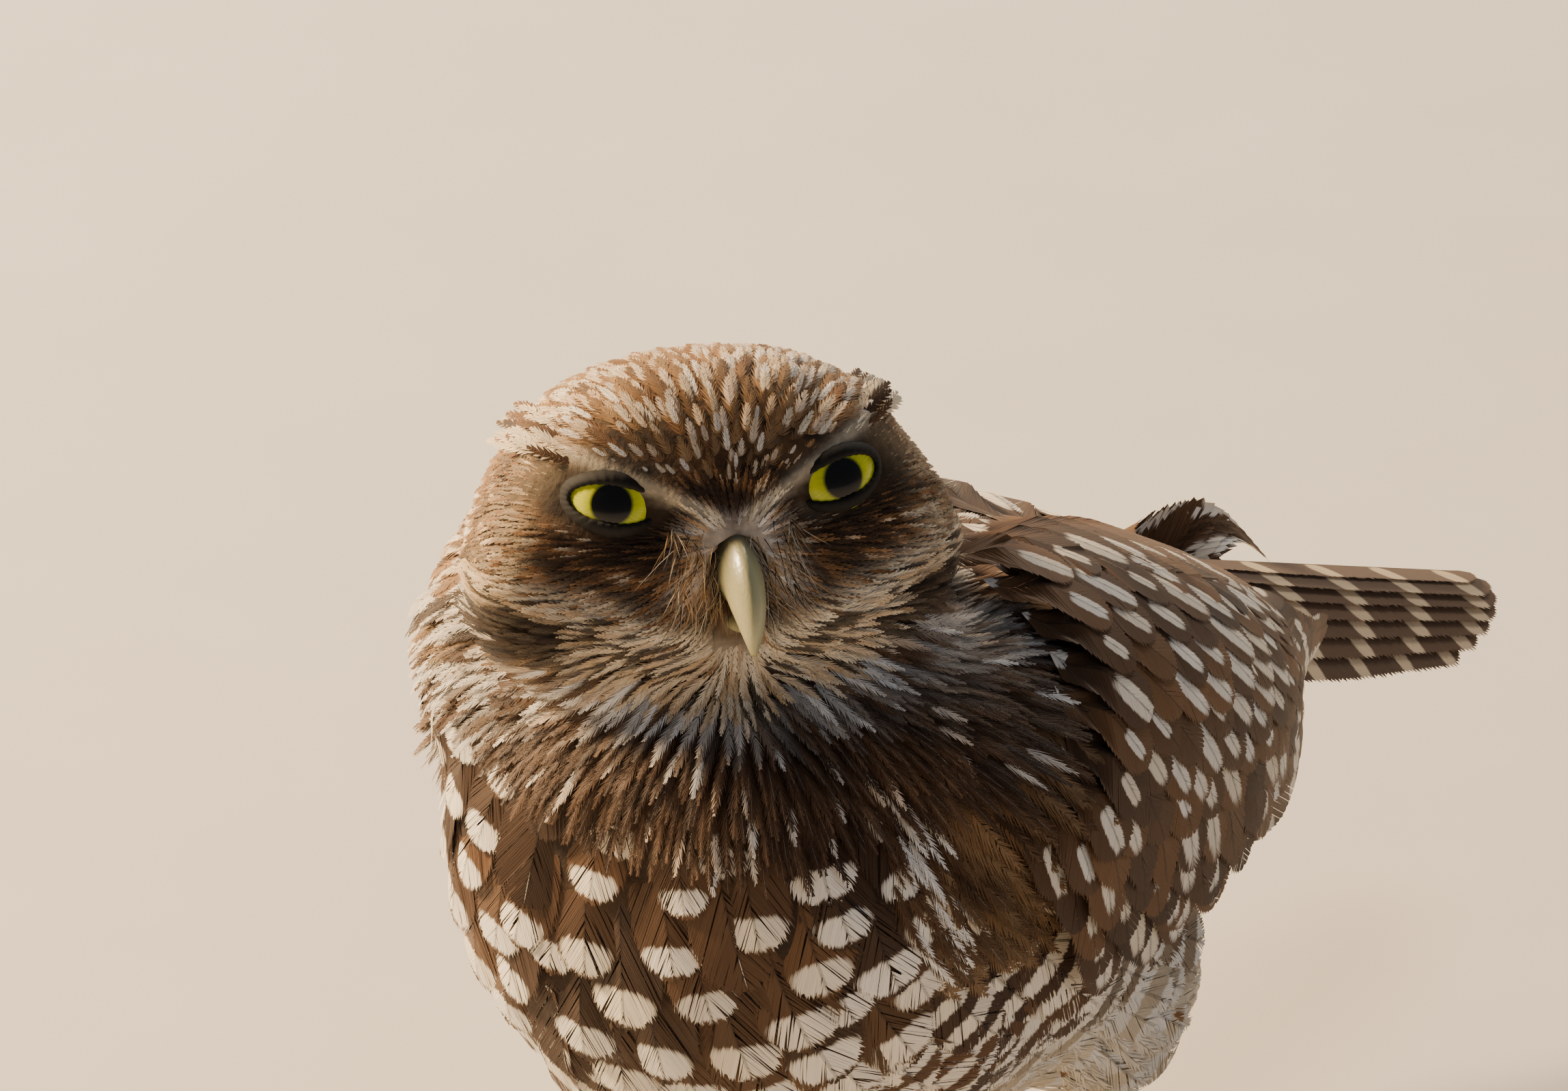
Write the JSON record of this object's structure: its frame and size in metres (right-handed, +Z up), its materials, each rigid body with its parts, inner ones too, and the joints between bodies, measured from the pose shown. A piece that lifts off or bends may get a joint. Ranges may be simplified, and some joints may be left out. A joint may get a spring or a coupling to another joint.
{
  "type": "burrowing owl",
  "caption": "Burrowing owl crouched low on both feet with fluffed plumage, folded wings and short tail, its head turned to its left and tipped up under frowning brows.",
  "frame": {"origin": "on the floor under the middle of the owl's bounding box", "axes": "+Z up, +Y from the breast towards the tail, +X towards the owl's left"},
  "size_m": [0.1026, 0.2272, 0.1504],
  "materials": {
    "plumage": "soft brown body feathers with white spots and bars, matt",
    "flight_feathers": "brown flight and tail feathers with white spots and buff bars, faint sheen",
    "down": "white and buff downy feathers, matt",
    "bill": "pale greenish yellow horn, satin",
    "eye": "wet, yellow iris round a black pupil",
    "foot_skin": "grey brown scaly skin, matt",
    "claw": "dark horn, satin"
  },
  "bodies": {
    "root": {"torso": "plumage", "neck": "plumage", "head": "plumage", "bill_upper": "bill", "bill_lower": "bill", "tail": "flight_feathers", "eye_left": "eye", "wing_left": "flight_feathers", "thigh_left": "down", "shank_left": "down", "foot_left": "foot_skin", "claw_left_inner": "claw", "claw_left_middle": "claw", "claw_left_outer": "claw", "claw_left_hind": "claw", "eye_right": "eye", "wing_right": "flight_feathers", "thigh_right": "down", "shank_right": "down", "foot_right": "foot_skin", "claw_right_inner": "claw", "claw_right_middle": "claw", "claw_right_outer": "claw", "claw_right_hind": "claw"}
  },
  "joints": []
}
